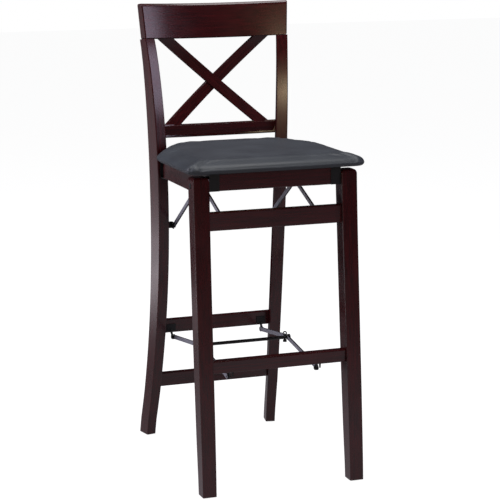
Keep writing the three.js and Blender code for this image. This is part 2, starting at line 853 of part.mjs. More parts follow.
// Steel rests on the front faces of the rear posts
const restFoot = seatFoot - jointGap - restThick;
const restCorner = postCorners(seatFoot, 0);
const restOutline = polygon([
  [0, restFoot],
  [restLip, restFoot],
  [restLip, restFoot + restThick],
  [restThick, restFoot + restThick],
  [restThick, restFoot + restRise],
  [0, restFoot + restRise],
]);
const restShape = sidePlate(restOutline, -restWidth / 2, restWidth / 2);
const restGeometry = geometryOf(restShape);
restGeometry.rotateZ(Math.PI - restCorner.turn);
const restMiddle = restCorner.at(restCorner.width / 2, -jointGap);
restGeometry.translate(restMiddle.x, restMiddle.y, 0);
const restBody = solid(restGeometry).subtract(postGrown);
addPair('seat_rest', restBody, blackSteel);

// Rear stays and front stays of the upper linkage
const stayHole = rivetRadius + runningGap;
function barBody(from, to, radiusFrom, radiusTo, x0, thick, holeFrom, holeTo) {
  return sidePlate(barOutline(from, to, radiusFrom, radiusTo), x0, x0 + thick)
    .subtract(pin(x0 - overrun, x0 + thick + overrun, from, holeFrom))
    .subtract(pin(x0 - overrun, x0 + thick + overrun, to, holeTo));
}
const rearStayOuter = rearStayInner + stayThick;
const rearStayEar = rearStayOuter + leafGap;
const rearStay = barBody(
  pivot.rearStay, pivot.stayKnee, eyeRadius, eyeRadius, rearStayInner, stayThick, stayHole, stayHole,
);
addPair('rear_stay', rearStay, plainSteel);
const frontStay = barBody(
  pivot.frontStay, pivot.stayKnee, eyeRadius, eyeRadius, frontStayInner, stayThick, stayHole, stayHole,
);
addPair('front_stay', frontStay, plainSteel);

// Rivet with its head at x0 and its shank ending at x1
function rivet(x0, x1, at) {
  const outward = Math.sign(x0 - x1);
  return pin(x0, x1, at, rivetRadius).add(pin(x0, x0 + outward * rivetHeadHeight, at, rivetHeadRadius));
}

// Two halves of the parted knee rivet, one in each stay
addPair('knee_rivet_outer', rivet(rearStayOuter, rearStayInner, pivot.stayKnee), blackSteel);
addPair('knee_rivet_inner', rivet(frontStayInner, frontStayInner + stayThick, pivot.stayKnee), blackSteel);

// Dog-leg brackets from the rear posts to the rear stays
const postAt = postCorners(pivot.rearStay.height, 0);
const leafLine = (deep, off) => {
  const p = postAt.at(postAt.width + off, deep);
  return [p.x, p.y];
};
const leafBack = postLeafInset + postLeafLength;
const earFront = pivot.rearStay.back - kneeEyeRadius;
const earBack = pivot.rearStay.back + eyeRadius + plateThick;
const dogLeg = planPlate(polygon([
  leafLine(leafBack, jointGap),
  leafLine(postLeafInset, jointGap),
  [rearStayEar + plateThick, earBack - plateThick],
  [rearStayEar + plateThick, earFront],
  [rearStayEar, earFront],
  [rearStayEar, earBack],
  leafLine(postLeafInset + plateThick, jointGap + plateThick),
  leafLine(leafBack, jointGap + plateThick),
]), pivot.rearStay.height - postLeafHeight / 2, pivot.rearStay.height + postLeafHeight / 2);
const dogLegBody = dogLeg
  .subtract(postGrown)
  .subtract(pin(rearStayEar - overrun, rearStayEar + overrun, pivot.rearStay, stayHole));
addPair('rear_stay_bracket', dogLegBody, blackSteel);
addPair('rear_stay_rivet', rivet(rearStayEar + plateThick, rearStayInner, pivot.rearStay), blackSteel);

// Angle bracket with a plate on a rail and an ear that carries a pivot
function earOutline(at, rootBack, rootLow, rootHigh) {
  const reach = Math.sign(at.back - rootBack);
  const shape = new THREE.Shape();
  shape.moveTo(rootBack, rootLow);
  const start = Math.PI / -2;
  if (reach > 0) {
    shape.absarc(at.back, at.height, eyeRadius, start, Math.PI / 2, false);
    shape.lineTo(rootBack, rootHigh);
  } else {
    shape.lineTo(rootBack, rootHigh);
    shape.absarc(at.back, at.height, eyeRadius, Math.PI / 2, 3 * Math.PI / 2, false);
  }
  return shape;
}

// Front stay brackets behind the front upper rail
const frontEarOuter = frontStayInner - leafGap;
const frontEarInner = frontEarOuter - earThick;
const stayPlateFoot = frontUpper.foot + (frontUpper.height - stayPlateHeight) / 2;
const stayEar = sidePlate(
  earOutline(
    pivot.frontStay, frontUpperRear,
    pivot.frontStay.height - eyeRadius, pivot.frontStay.height + eyeRadius,
  ),
  frontEarInner, frontEarOuter,
);
const stayBracket = box(
  frontEarInner, frontEarInner + stayPlateWidth,
  frontUpperRear, frontUpperRear + plateThick,
  stayPlateFoot, stayPlateFoot + stayPlateHeight,
)
  .add(stayEar)
  .subtract(pin(frontEarInner - overrun, frontEarOuter + overrun, pivot.frontStay, stayHole));
addPair('front_stay_bracket', stayBracket, blackSteel);
addPair('front_stay_rivet', rivet(frontEarInner, frontStayInner + stayThick, pivot.frontStay), blackSteel);

// Links of the lower linkage
const rearLinkInner = frontLinkInner + linkThick + leafGap;
const rearLinkOuter = rearLinkInner + linkThick;
const rodHole = rodRadius + runningGap;
const rearLink = barBody(
  pivot.rearLink, pivot.linkKnee, eyeRadius, kneeEyeRadius, rearLinkInner, linkThick, stayHole, rodHole,
);
const frontLink = barBody(
  pivot.frontLink, pivot.linkKnee, eyeRadius, eyeRadius, frontLinkInner, linkThick, stayHole, rodHole,
);
addPair('rear_link', rearLink, plainSteel);
addPair('front_link', frontLink, plainSteel);

// Cross rod, fixed in the rear links, on which the front links turn
const ringAcross = frontLinkInner - leafGap - ringNut;
function ringPin(z0, z1, radius) {
  const geometry = new THREE.CylinderGeometry(radius, radius, z1 - z0, pinSides);
  geometry.rotateX(Math.PI / 2);
  geometry.translate(ringAcross, pivot.linkKnee.back, (z0 + z1) / 2);
  return solid(geometry);
}
const shankTop = pivot.linkKnee.height + rodRadius + ringWire + jointGap;
const shankFoot = pivot.linkKnee.height - ringDrop;
const rod = pin(-rearLinkOuter, rearLinkOuter, pivot.linkKnee, rodRadius)
  .subtract(ringPin(shankFoot, shankTop + overrun, ringShank + runningGap));
add('cross_rod', rod, blackSteel);
const ring = new THREE.TorusGeometry(ringRadius, ringWire, eyeSteps, pinSides);
ring.rotateX(Math.PI / 2);
ring.translate(ringAcross, pivot.linkKnee.back, shankTop + ringRadius);
const ringBolt = ringPin(shankFoot, shankTop, ringShank)
  .add(solid(ring))
  .add(ringPin(shankFoot - ringNutHeight, shankFoot, ringNut));
add('ring_bolt', ringBolt, blackSteel);

// Brackets of the lower linkage: a tee-shaped plate on the rail with a bent ear
function teeBracket(at, plateY0, plateY1, plateFoot, earX0, ear) {
  const middle = earX0 + earThick / 2;
  const half = linkPlateWidth / 2;
  const neckFoot = at.height + eyeRadius;
  const outline = polygon([
    [middle - half, plateFoot],
    [middle - earThick, plateFoot],
    [earX0, neckFoot],
    [earX0 + earThick, neckFoot],
    [middle + earThick, plateFoot],
    [middle + half, plateFoot],
    [middle + half, plateFoot + linkPlateHeight],
    [middle - half, plateFoot + linkPlateHeight],
  ]);
  return frontPlate(outline, plateY0, plateY1)
    .add(sidePlate(ear, earX0, earX0 + earThick))
    .subtract(pin(earX0 - overrun, earX0 + earThick + overrun, at, stayHole));
}
const rearEar = rearLinkOuter + leafGap;
const rearPlateFoot = rearUpper.foot + linkPlateDrop;
const rearEarShape = earOutline(
  pivot.rearLink, rearUpper.back, rearPlateFoot - eyeRadius, rearPlateFoot + eyeRadius,
);
addPair('rear_link_bracket', teeBracket(
  pivot.rearLink, rearUpper.back - plateThick, rearUpper.back, rearPlateFoot, rearEar, rearEarShape,
), blackSteel);
addPair('rear_link_rivet', rivet(rearEar + earThick, rearLinkInner, pivot.rearLink), blackSteel);

const frontEar = frontLinkInner - leafGap - earThick;
const frontEarFoot = footrest.foot + footrestPlateDrop;
const frontEarShape = earOutline(
  pivot.frontLink, footrestRear, frontEarFoot - eyeRadius, frontEarFoot + eyeRadius,
);
addPair('front_link_bracket', teeBracket(
  pivot.frontLink, footrestRear, footrestRear + plateThick, frontEarFoot, frontEar, frontEarShape,
), blackSteel);
addPair('front_link_rivet', rivet(frontEar, frontLinkInner + linkThick, pivot.frontLink), blackSteel);

// Origin at the bottom centre of the bounding box
const bounds = new THREE.Box3().setFromObject(stool);
const middle = bounds.getCenter(new THREE.Vector3());
for (const mesh of stool.children) {
  mesh.geometry.translate(-middle.x, -middle.y, -bounds.min.z);
}
console.log(`moved back by ${middle.y.toFixed(3)}, base ${bounds.min.z.toFixed(3)}`);

export default stool;
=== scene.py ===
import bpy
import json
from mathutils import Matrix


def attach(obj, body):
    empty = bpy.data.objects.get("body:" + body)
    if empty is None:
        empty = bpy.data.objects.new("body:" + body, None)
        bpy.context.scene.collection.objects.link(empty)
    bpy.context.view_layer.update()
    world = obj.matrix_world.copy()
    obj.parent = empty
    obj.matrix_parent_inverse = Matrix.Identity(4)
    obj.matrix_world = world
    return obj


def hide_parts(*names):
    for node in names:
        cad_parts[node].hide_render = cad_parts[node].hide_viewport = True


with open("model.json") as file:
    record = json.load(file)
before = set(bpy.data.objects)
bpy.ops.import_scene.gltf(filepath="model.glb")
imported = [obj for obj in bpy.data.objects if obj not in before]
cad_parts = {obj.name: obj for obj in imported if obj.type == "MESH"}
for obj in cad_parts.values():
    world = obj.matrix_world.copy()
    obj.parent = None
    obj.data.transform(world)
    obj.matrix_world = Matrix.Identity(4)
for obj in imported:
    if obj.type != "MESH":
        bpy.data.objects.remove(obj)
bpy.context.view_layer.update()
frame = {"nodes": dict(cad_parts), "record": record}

# Dresses the folding bar stool: stained hardwood, padded vinyl seat, black and plain steel linkages.
# Laid out as an add-on and run as a script. Every length is in metres.

import json
import math

import bmesh
import bpy
from bpy.props import FloatProperty, FloatVectorProperty, IntProperty, PointerProperty, StringProperty
from mathutils import Matrix, Vector

bl_info = {
    "name": "Folding bar stool",
    "version": (1, 0, 0),
    "blender": (4, 5, 0),
    "location": "View3D > Sidebar > Stool",
    "description": "Dresses a folding bar stool with its wood, steel and padded vinyl, and sets its studio",
    "category": "Object",
}

MILLIMETRE = 0.001

# Which way the grain of each wooden node runs: along the length of the board it was sawn from.
GRAIN_UP = ("rear_post_right", "rear_post_left", "front_leg_right", "front_leg_left")
GRAIN_ACROSS = (
    "crest_rail", "lower_back_rail", "rear_bracket_rail", "rear_lower_rail",
    "front_upper_rail", "footrest_rail", "seat_apron", "seat_rear_rail",
)
GRAIN_BACK = ("seat_side_rail_right", "seat_side_rail_left")
SLAT_RISE = 199.5 * MILLIMETRE
SLAT_RUN = 227.2 * MILLIMETRE
SLAT_ANGLE = math.atan2(SLAT_RISE, SLAT_RUN)

# Bent and sawn pieces whose long curves are drawn in flat steps. The steps meet at less than this angle, and
# corners that share a place to this distance are one corner.
CURVED_NODES = (
    "crest_rail", "lower_back_rail", "back_slat_front", "back_slat_rear",
    "rear_post_right", "rear_post_left", "front_leg_right", "front_leg_left",
)
CURVE_STEP = math.radians(15)
SAME_POINT = 0.002 * MILLIMETRE

# A pore is this many times as long as it is wide. The lacquer's sheen varies from patch to patch, as it was
# sprayed on.
PORE_STRETCH = 28
SPRAY_PATCH = 111 * MILLIMETRE

# Sanded edges of the wood and deburred edges of the steel are eased by this much more than the solids'.
WOOD_EASE = 0.8 * MILLIMETRE
STEEL_EASE = 0.4 * MILLIMETRE

# Rolling lines on the bars are about 0.3 mm apart; drawn 0.8 mm apart so that they show, and each fades out
# over its length.
ROLLING_LINE = 0.8 * MILLIMETRE
ROLLING_LENGTH = 16.7 * MILLIMETRE

# Figure of the rotary cut face of the plywood, and the mould's texture on the glides
FIGURE_WIDTH = 14.3 * MILLIMETRE
FIGURE_LENGTH = 83 * MILLIMETRE
MOULD_GRAIN = 1.1 * MILLIMETRE

# The vinyl's colour and sheen vary over this distance.
VINYL_CLOUD = 71.4 * MILLIMETRE

# While it is filled, the vinyl is held fast up to 0.6 of this rise above the board and is free at 1.6 of it.
HELD_RISE = 9 * MILLIMETRE
HELD_SHARE = 1.6
VINYL_MASS = 0.3
VINYL_STIFFNESS = 20
FILL_QUALITY = 4

# Over these distances each bright part of the floor fades out: round the front place, round the lamp's pool,
# and from the far left inwards.
FRONT_FADE = (1.0, 3.8)
POOL_FADE = (0.2, 0.9)
LEFT_FADE = (-2.8, -1.3)

# How the camera sees the floor: a low matt share that takes the shadow, and an even glow.
FLOOR_MATT = 0.25
FLOOR_GLOW = 0.95
FLOOR_REACH = 14.0

# The camera's frame in millimetres, and how near and how far it sees
FRAME_WIDTH = 36.0
NEAREST = 0.05
FURTHEST = 60.0

# Each lamp's name, place, the point that it faces, diameter, watts and sRGB colour
STOOL_MIDDLE = (0.0, 0.0, 0.6)
LAMPS = (
    ("lamp_left", (-2.7, 0.6, 2.3), STOOL_MIDDLE, 2.0, 60.0, "f6f0ff"),
    ("lamp_front", (-0.56, -3.1, 1.36), (0.18, 0.18, 1.04), 0.35, 7.5, "ffe2b8"),
    ("lamp_right", (2.7, -1.7, 1.60), (0.0, 0.2, 1.0), 1.3, 18.0, "f2e4ff"),
    ("lamp_top", (0.1, -0.2, 3.2), STOOL_MIDDLE, 2.0, 52.0, "ffffff"),
)

# The mix node has one pair of sockets for each kind of value; these are the colour ones.
MIX_A, MIX_B, MIX_RESULT = 6, 7, 2
WHITE = (1.0, 1.0, 1.0, 1.0)


def linear(text):
    """An sRGB hex colour such as '3b1c20' as linear red, green, blue and alpha."""
    parts = [int(text.lstrip("#")[i:i + 2], 16) / 255 for i in (0, 2, 4)]
    straight = [c / 12.92 if c <= 0.04045 else ((c + 0.055) / 1.055) ** 2.4 for c in parts]
    return (*straight, 1.0)


def add_node(tree, kind, settings=None, links=None):
    """Adds a node with its settings and input values, and links into its inputs."""
    node = tree.nodes.new(kind)
    for name, value in (settings or {}).items():
        if isinstance(name, int) or name in node.inputs:
            node.inputs[name].default_value = value
        else:
            setattr(node, name, value)
    for name, source in (links or {}).items():
        tree.links.new(source, node.inputs[name])
    return node


def blank_material(name):
    """A material with only its output, and the shader to fill in."""
    material = bpy.data.materials.new(name)
    material.use_nodes = True
    tree = material.node_tree
    tree.nodes.clear()
    output = tree.nodes.new("ShaderNodeOutputMaterial")
    shader = tree.nodes.new("ShaderNodeBsdfPrincipled")
    tree.links.new(shader.outputs["BSDF"], output.inputs["Surface"])
    return material, tree, shader


def paint(nodes, material):
    """Puts one material on CAD nodes in place of the one they came with."""
    for name in nodes:
        thing = frame["nodes"][name]
        thing.data.materials.clear()
        thing.data.materials.append(material)


def shade_smoothly(nodes):
    """Shades the steps of long curves as one surface and keeps the edges crisp; no point is moved."""
    for name in nodes:
        thing = frame["nodes"][name]
        normals = thing.data.attributes.get("custom_normal")
        if normals is not None:
            thing.data.attributes.remove(normals)
        for face in thing.data.polygons:
            face.use_smooth = True
        joined = thing.modifiers.new("joined", "WELD")
        joined.merge_threshold = SAME_POINT
        edges = thing.modifiers.new("edges", "EDGE_SPLIT")
        edges.split_angle = CURVE_STEP
        flats = thing.modifiers.new("flats", "WEIGHTED_NORMAL")
        flats.mode = "FACE_AREA_WITH_ANGLE"


def nodes_of_slot(slot):
    """Names of the CAD nodes that take their finish from a slot of the record."""
    return [row["node"] for row in frame["record"]["subparts"] if row["material_slot"] == slot]


class WoodSettings(bpy.types.PropertyGroup):
    """Stained hardwood under satin lacquer."""

    stain: StringProperty(
        name="Stain", description="Colour of the stain between the pores, sRGB hex",
        default="320a0d")
    flame: StringProperty(
        name="Flame", description="Redder colour where the wood took less stain, sRGB hex",
        default="4a1014")
    pore: StringProperty(
        name="Pore", description="Colour where stain gathers in the pores, sRGB hex",
        default="170607")
    grain_width: FloatProperty(
        name="Grain width", description="Distance across between bands of grain",
        default=5 * MILLIMETRE, min=0.5 * MILLIMETRE, subtype="DISTANCE", unit="LENGTH")
    grain_length: FloatProperty(
        name="Grain length", description="Length over which a band of grain changes",
        default=110 * MILLIMETRE, min=5 * MILLIMETRE, subtype="DISTANCE", unit="LENGTH")
    pore_width: FloatProperty(
        name="Pore width", description="Distance across between pores",
        default=0.9 * MILLIMETRE, min=0.2 * MILLIMETRE, subtype="DISTANCE", unit="LENGTH")
    lacquer: FloatProperty(
        name="Lacquer roughness", description="Roughness of the satin lacquer",
        default=0.25, min=0.0, max=1.0, subtype="FACTOR")


class SteelSettings(bpy.types.PropertyGroup):
    """Black powder-coated plates and plain rolled bars."""

    black: StringProperty(
        name="Black", description="Colour of the black coat, sRGB hex",
        default="0a0a0c")
    worn: StringProperty(
        name="Worn black", description="Colour of the coat's raised peel, sRGB hex",
        default="131316")
    plain: StringProperty(
        name="Plain", description="Lighter colour of the plain steel, sRGB hex",
        default="b4b5c0")
    rolled: StringProperty(
        name="Rolled", description="Darker colour of the plain steel, sRGB hex",
        default="9a9ba6")
    # Painted shade: the dark colour that the bars' narrow edges take.
    painted_edge_shade: StringProperty(
        name="Sheared", description="Colour of the bars' cut edges, sRGB hex",
        default="26262b")
    speck: FloatProperty(
        name="Speck size", description="Size of the fine orange peel in the coat",
        default=1.2 * MILLIMETRE, min=0.2 * MILLIMETRE, subtype="DISTANCE", unit="LENGTH")


class PadSettings(bpy.types.PropertyGroup):
    """Vinyl over foam."""

    vinyl: StringProperty(
        name="Vinyl", description="Darker colour of the vinyl, sRGB hex",
        default="2d3239")
    bloom: StringProperty(
        name="Bloom", description="Lighter colour of the vinyl, sRGB hex",
        default="353b42")
    voxel: FloatProperty(
        name="Mesh size", description="Distance between points of the pad while it is filled",
        default=5 * MILLIMETRE, min=3 * MILLIMETRE, subtype="DISTANCE", unit="LENGTH")
    pressure: FloatProperty(
        name="Fill", description="Pressure of the foam under the vinyl",
        default=3.0, min=0.0)
    most_swell: FloatProperty(
        name="Most swell", description="The furthest that the fill may push the vinyl",
        default=3.5 * MILLIMETRE, min=0.0, subtype="DISTANCE", unit="LENGTH")
    frames: IntProperty(
        name="Filling steps", description="Steps of the filling simulation",
        default=18, min=2)
    pebble: FloatProperty(
        name="Pebble size", description="Distance between pebbles of the embossed vinyl",
        default=1.6 * MILLIMETRE, min=0.3 * MILLIMETRE, subtype="DISTANCE", unit="LENGTH")


class StudioSettings(bpy.types.PropertyGroup):
    """Floor, lamps and the photograph's camera."""

    camera_place: FloatVectorProperty(
        name="Camera place", description="Where the lens stands",
        default=(-1.4271, -3.9947, 1.3400), subtype="TRANSLATION", unit="LENGTH")
    azimuth: FloatProperty(
        name="Azimuth", description="Turn of the camera about the vertical",
        default=math.radians(-19.909), subtype="ANGLE", unit="ROTATION")
    elevation: FloatProperty(
        name="Elevation", description="How far the camera looks down",
        default=math.radians(11.0825), subtype="ANGLE", unit="ROTATION")
    roll: FloatProperty(
        name="Roll", description="Tilt of the picture about the line of sight",
        default=math.radians(-0.231), subtype="ANGLE", unit="ROTATION")
    lens: FloatProperty(
        name="Lens", description="Focal length in millimetres on a 36 mm frame",
        default=130.455)
    floor: StringProperty(
        name="Floor", description="Colour of the floor as it lights the stool, sRGB hex",
        default="b8b8b8")
    near_glow: FloatProperty(
        name="Floor in front",
        description="Brightness of the floor in front as the lacquer shows it", default=0.42)
    near_place: FloatVectorProperty(
        name="Front place", description="Middle of the bright floor in front",
        default=(0.1, -1.6, 0.0), subtype="TRANSLATION", unit="LENGTH")
    left_glow: FloatProperty(
        name="Floor on the left",
        description="Brightness of the far floor as the lacquer shows it", default=0.6)
    pool_glow: FloatProperty(
        name="Pool of light",
        description="Brightness of the lamp's pool on the floor as the lacquer shows it",
        default=3.0)
    pool_place: FloatVectorProperty(
        name="Pool place", description="Middle of the lamp's pool on the floor",
        default=(-1.6, 1.4, 0.0), subtype="TRANSLATION", unit="LENGTH")
    room: FloatProperty(
        name="Room", description="Brightness of the room as it lights the stool",
        default=0.12)
    room_gloss: FloatProperty(
        name="Room in the lacquer",
        description="Brightness of the dark room as the lacquer shows it", default=0.03)


# Wood

def stained_wood(name, turn):
    """Beech stained dark red-brown and sprayed with satin lacquer: low bands of colour along the board, fine
    dark pores, and a soft broad sheen that follows the eased edges."""
    wood = bpy.context.scene.stool_wood
    material, tree, shader = blank_material(name)
    place = add_node(tree, "ShaderNodeTexCoord")
    aligned = add_node(tree, "ShaderNodeMapping", {"Rotation": turn}, {"Vector": place.outputs["Object"]})
    # Along the board the pattern is stretched, so the scales are one over the real sizes.
    across, length = 1 / wood.grain_width, 1 / wood.grain_length
    stretched = add_node(
        tree, "ShaderNodeMapping", {"Scale": (length, across, across)}, {"Vector": aligned.outputs["Vector"]})
    bands = add_node(
        tree, "ShaderNodeTexNoise", {"Scale": 1.0, "Detail": 4.0, "Roughness": 0.6, "Distortion": 0.4},
        {"Vector": stretched.outputs["Vector"]})
    pore_scale = 1 / wood.pore_width
    pore_space = add_node(
        tree, "ShaderNodeMapping", {"Scale": (pore_scale / PORE_STRETCH, pore_scale, pore_scale)},
        {"Vector": aligned.outputs["Vector"]})
    pores = add_node(
        tree, "ShaderNodeTexNoise", {"Scale": 1.0, "Detail": 2.0, "Roughness": 0.5},
        {"Vector": pore_space.outputs["Vector"]})
    cloud = add_node(
        tree, "ShaderNodeTexNoise", {"Scale": 1 / SPRAY_PATCH, "Detail": 2.0},
        {"Vector": place.outputs["Object"]})
    # Most of the board is between the two colours, and only the ends of the noise are all one.
    stain = add_node(tree, "ShaderNodeValToRGB", links={"Fac": bands.outputs["Fac"]})
    stain.color_ramp.elements[0].position = 0.36
    stain.color_ramp.elements[0].color = linear(wood.stain)
    stain.color_ramp.elements[1].position = 0.68
    stain.color_ramp.elements[1].color = linear(wood.flame)
    pore_mask = add_node(tree, "ShaderNodeMapRange", {
        "From Min": 0.56, "From Max": 0.72, "To Min": 0.0, "To Max": 0.55}, {"Value": pores.outputs["Fac"]})
    pored = add_node(
        tree, "ShaderNodeMix", {"data_type": "RGBA", MIX_B: linear(wood.pore)},
        {0: pore_mask.outputs["Result"], MIX_A: stain.outputs["Color"]})
    tree.links.new(pored.outputs[MIX_RESULT], shader.inputs["Base Color"])
    rough = add_node(tree, "ShaderNodeMapRange", {
        "From Min": 0.3, "From Max": 0.7, "To Min": wood.lacquer - 0.05, "To Max": wood.lacquer + 0.06},
        {"Value": cloud.outputs["Fac"]})
    tree.links.new(rough.outputs["Result"], shader.inputs["Roughness"])
    eased = add_node(tree, "ShaderNodeBevel", {"samples": 4, "Radius": WOOD_EASE})
    relief = add_node(
        tree, "ShaderNodeBump", {"Strength": 0.10, "Distance": 0.15 * MILLIMETRE},
        {"Height": pores.outputs["Fac"], "Normal": eased.outputs["Normal"]})
    tree.links.new(relief.outputs["Normal"], shader.inputs["Normal"])
    shader.inputs["IOR"].default_value = 1.5
    shader.inputs["Specular IOR Level"].default_value = 0.5
    shader.inputs["Coat Weight"].default_value = 0.25
    shader.inputs["Coat Roughness"].default_value = 0.18
    return material


class STOOL_OT_stain_wood(bpy.types.Operator):
    """Stain and lacquer every wooden piece with its grain along its length"""

    bl_idname = "stool.stain_wood"
    bl_label = "Stain the wood"

    def execute(self, context):
        quarter = math.pi / 2
        paint(GRAIN_ACROSS, stained_wood("stained_beech_rails", (0, 0, 0)))
        paint(GRAIN_UP, stained_wood("stained_beech_uprights", (0, quarter, 0)))
        paint(GRAIN_BACK, stained_wood("stained_beech_seat_rails", (0, 0, -quarter)))
        paint(("back_slat_front",), stained_wood("stained_beech_front_slat", (0, -SLAT_ANGLE, 0)))
        paint(("back_slat_rear",), stained_wood("stained_beech_rear_slat", (0, SLAT_ANGLE, 0)))
        shade_smoothly(CURVED_NODES)
        return {"FINISHED"}


# Steel

def black_coated_steel():
    """Mild steel, pressed and powder coated black: near black with a broad soft shine and a faint orange
    peel."""
    steel = bpy.context.scene.stool_steel
    material, tree, shader = blank_material("black_powder_coated_steel")
    place = add_node(tree, "ShaderNodeTexCoord")
    peel = add_node(
        tree, "ShaderNodeTexNoise", {"Scale": 1 / steel.speck, "Detail": 1.0},
        {"Vector": place.outputs["Object"]})
    eased = add_node(tree, "ShaderNodeBevel", {"samples": 4, "Radius": STEEL_EASE})
    relief = add_node(
        tree, "ShaderNodeBump", {"Strength": 0.15, "Distance": 0.05 * MILLIMETRE},
        {"Height": peel.outputs["Fac"], "Normal": eased.outputs["Normal"]})
    tree.links.new(relief.outputs["Normal"], shader.inputs["Normal"])
    worn = add_node(tree, "ShaderNodeMapRange", {
        "From Min": 0.3, "From Max": 0.7, "To Min": 0.34, "To Max": 0.46}, {"Value": peel.outputs["Fac"]})
    tree.links.new(worn.outputs["Result"], shader.inputs["Roughness"])
    tone = add_node(tree, "ShaderNodeValToRGB", links={"Fac": peel.outputs["Fac"]})
    tone.color_ramp.elements[0].color = linear(steel.black)
    tone.color_ramp.elements[1].color = linear(steel.worn)
    tree.links.new(tone.outputs["Color"], shader.inputs["Base Color"])
    shader.inputs["IOR"].default_value = 1.5
    return material


def plain_rolled_steel():
    """Cold rolled steel strip, zinc flashed: a cool grey with fine lines along the bar, and painted shade
    that darkens its narrow edges, the faces that don't face across the bar."""
    steel = bpy.context.scene.stool_steel
    material, tree, shader = blank_material("plain_rolled_steel")
    place = add_node(tree, "ShaderNodeTexCoord")
    line_scale = (1 / ROLLING_LENGTH, 1 / ROLLING_LENGTH, 1 / ROLLING_LINE)
    lines = add_node(tree, "ShaderNodeMapping", {"Scale": line_scale}, {"Vector": place.outputs["Object"]})
    rolled = add_node(
        tree, "ShaderNodeTexNoise", {"Scale": 1.0, "Detail": 3.0}, {"Vector": lines.outputs["Vector"]})
    # Painted shade: faces that don't face across the bar, its narrow edges, take the dark colour.
    normal = add_node(tree, "ShaderNodeNewGeometry")
    parts = add_node(tree, "ShaderNodeSeparateXYZ", links={"Vector": normal.outputs["True Normal"]})
    face = add_node(tree, "ShaderNodeMath", {"operation": "ABSOLUTE"}, {0: parts.outputs["X"]})
    edge = add_node(tree, "ShaderNodeMapRange", {
        "From Min": 0.3, "From Max": 0.8, "To Min": 0.0, "To Max": 1.0}, {"Value": face.outputs["Value"]})
    tone = add_node(tree, "ShaderNodeValToRGB", links={"Fac": rolled.outputs["Fac"]})
    tone.color_ramp.elements[0].color = linear(steel.rolled)
    tone.color_ramp.elements[1].color = linear(steel.plain)
    painted_edge_shade = add_node(
        tree, "ShaderNodeMix", {"data_type": "RGBA", MIX_A: linear(steel.painted_edge_shade)},
        {0: edge.outputs["Result"], MIX_B: tone.outputs["Color"]})
    tree.links.new(painted_edge_shade.outputs[MIX_RESULT], shader.inputs["Base Color"])
    eased = add_node(tree, "ShaderNodeBevel", {"samples": 4, "Radius": STEEL_EASE})
    tree.links.new(eased.outputs["Normal"], shader.inputs["Normal"])
    shader.inputs["Metallic"].default_value = 0.55
    shader.inputs["Roughness"].default_value = 0.42
    return material


class STOOL_OT_coat_steel(bpy.types.Operator):
    """Coat the brackets, rivets, bolts and rod black, and leave the bars plain"""

    bl_idname = "stool.coat_steel"
    bl_label = "Coat the steel"

    def execute(self, context):
        paint(nodes_of_slot("black_steel"), black_coated_steel())
        paint(nodes_of_slot("plain_steel"), plain_rolled_steel())
        return {"FINISHED"}


# Small parts

def bare_plywood():
    """Rotary cut poplar plywood, left bare: pale, with a broad soft figure, and dull."""
    material, tree, shader = blank_material("bare_poplar_plywood")
    place = add_node(tree, "ShaderNodeTexCoord")
    figure_scale = (1 / FIGURE_LENGTH, 1 / FIGURE_WIDTH, 1 / FIGURE_WIDTH)
    figure_space = add_node(
        tree, "ShaderNodeMapping", {"Scale": figure_scale}, {"Vector": place.outputs["Object"]})
    figure = add_node(
        tree, "ShaderNodeTexNoise", {"Scale": 1.0, "Detail": 4.0, "Distortion": 1.2},
        {"Vector": figure_space.outputs["Vector"]})
    tone = add_node(tree, "ShaderNodeValToRGB", links={"Fac": figure.outputs["Fac"]})
    tone.color_ramp.elements[0].color = linear("8d6a49")
    tone.color_ramp.elements[1].color = linear("b08d66")
    tree.links.new(tone.outputs["Color"], shader.inputs["Base Color"])
    shader.inputs["Roughness"].default_value = 0.8
    return material


def moulded_nylon():
    """Moulded nylon, brown black: dull, with a very fine texture from the mould."""
    material, tree, shader = blank_material("moulded_nylon")
    place = add_node(tree, "ShaderNodeTexCoord")
    mould = add_node(
        tree, "ShaderNodeTexNoise", {"Scale": 1 / MOULD_GRAIN}, {"Vector": place.outputs["Object"]})
    relief = add_node(
        tree, "ShaderNodeBump", {"Strength": 0.1, "Distance": 0.05 * MILLIMETRE},
        {"Height": mould.outputs["Fac"]})
    tree.links.new(relief.outputs["Normal"], shader.inputs["Normal"])
    shader.inputs["Base Color"].default_value = linear("2b2624")
    shader.inputs["Roughness"].default_value = 0.55
    return material


class STOOL_OT_finish_hidden_parts(bpy.types.Operator):
    """Finish the plywood seat board and the nylon glides"""

    bl_idname = "stool.finish_hidden_parts"
    bl_label = "Finish board and glides"

    def execute(self, context):
        paint(nodes_of_slot("plywood"), bare_plywood())
        paint(nodes_of_slot("nylon"), moulded_nylon())
        return {"FINISHED"}


# Pad

